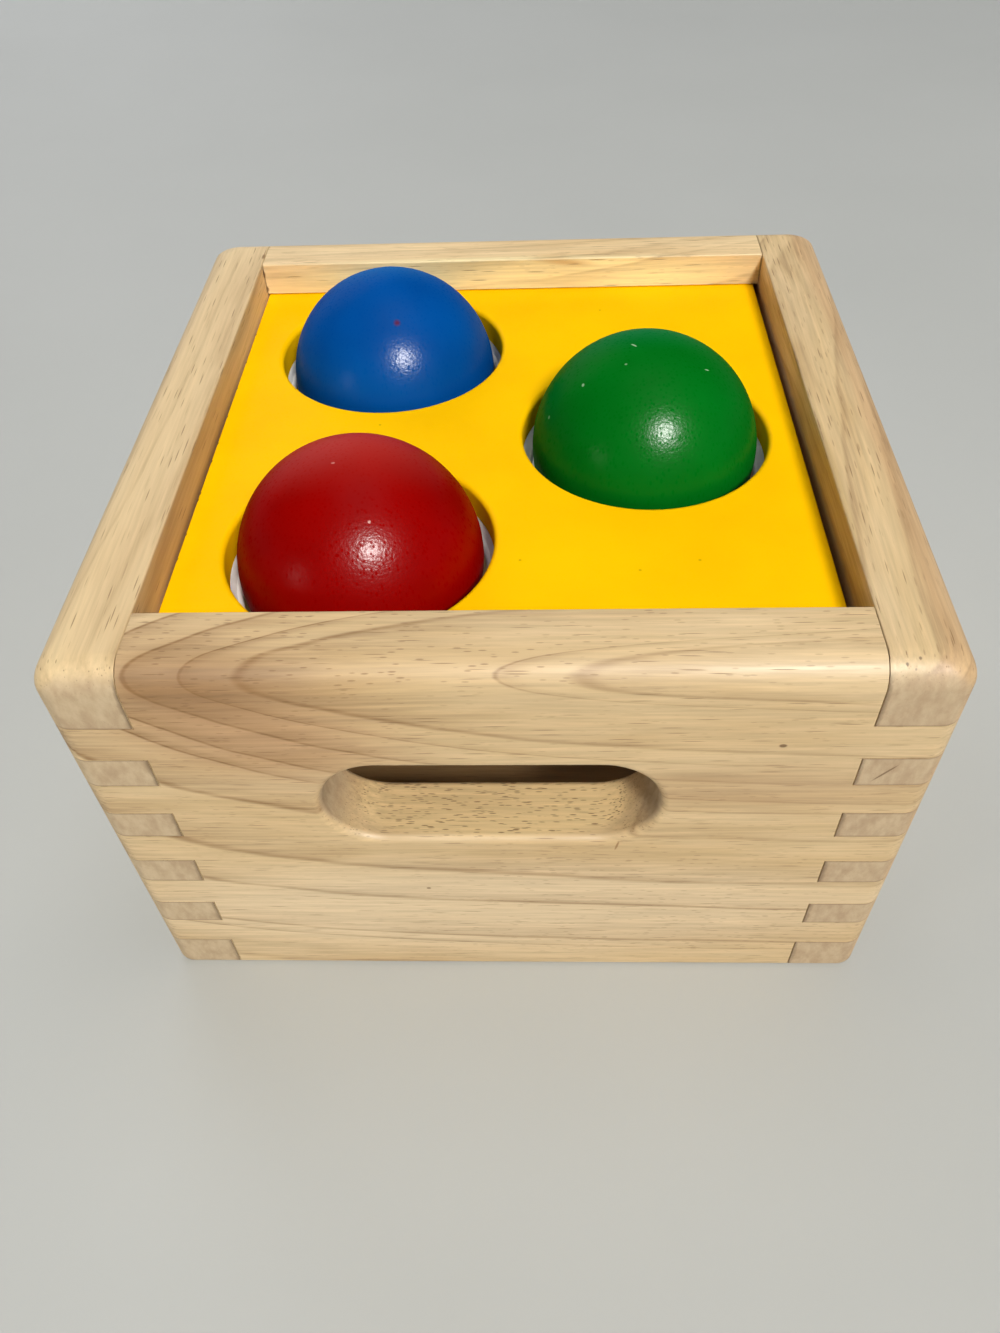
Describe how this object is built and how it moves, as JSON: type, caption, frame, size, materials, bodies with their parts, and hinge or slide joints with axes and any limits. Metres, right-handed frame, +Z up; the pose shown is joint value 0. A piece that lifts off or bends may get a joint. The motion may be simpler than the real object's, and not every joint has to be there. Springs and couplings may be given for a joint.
{
  "type": "ball pounding box",
  "caption": "Open-top wooden toy box with finger-jointed corners and a hand slot; painted balls are pushed down through elastic rings in a yellow panel and roll out at the back.",
  "frame": {"origin": "middle of the box's footprint, on the plane that it stands on", "axes": "+Z up, +X to the right and -Y out of the front wall with the hand slot, so the balls leave along +Y"},
  "size_m": [0.16, 0.1586, 0.1147],
  "materials": {
    "rubberwood": "sanded, clear matt lacquer",
    "plywood": "sanded",
    "yellow_paint": "satin paint on wood",
    "white_rubber": "smooth",
    "blue_paint": "satin paint on wood",
    "green_paint": "satin paint on wood",
    "red_paint": "satin paint on wood"
  },
  "bodies": {
    "box": {"front_wall": "rubberwood", "back_wall": "rubberwood", "left_wall": "rubberwood", "right_wall": "rubberwood", "top_panel": "yellow_paint", "seat_ring_blue": "white_rubber", "seat_ring_green": "white_rubber", "seat_ring_red": "white_rubber", "ramp_floor": "plywood", "left_ramp_rail": "rubberwood", "right_ramp_rail": "rubberwood"},
    "blue_ball": {"ball_blue": "blue_paint"},
    "green_ball": {"ball_green": "green_paint"},
    "red_ball": {"ball_red": "red_paint"}
  },
  "joints": [
    {"name": "blue_ball_push", "type": "slide", "parent": "box", "child": "blue_ball", "axis": [0, 0, 1], "range_m": [-0.0533, 0.055], "deforming": ["seat_ring_blue"]},
    {"name": "green_ball_push", "type": "slide", "parent": "box", "child": "green_ball", "axis": [0, 0, 1], "range_m": [-0.0542, 0.055], "deforming": ["seat_ring_green"]},
    {"name": "red_ball_push", "type": "slide", "parent": "box", "child": "red_ball", "axis": [0, 0, 1], "range_m": [-0.0517, 0.055], "deforming": ["seat_ring_red"]}
  ]
}
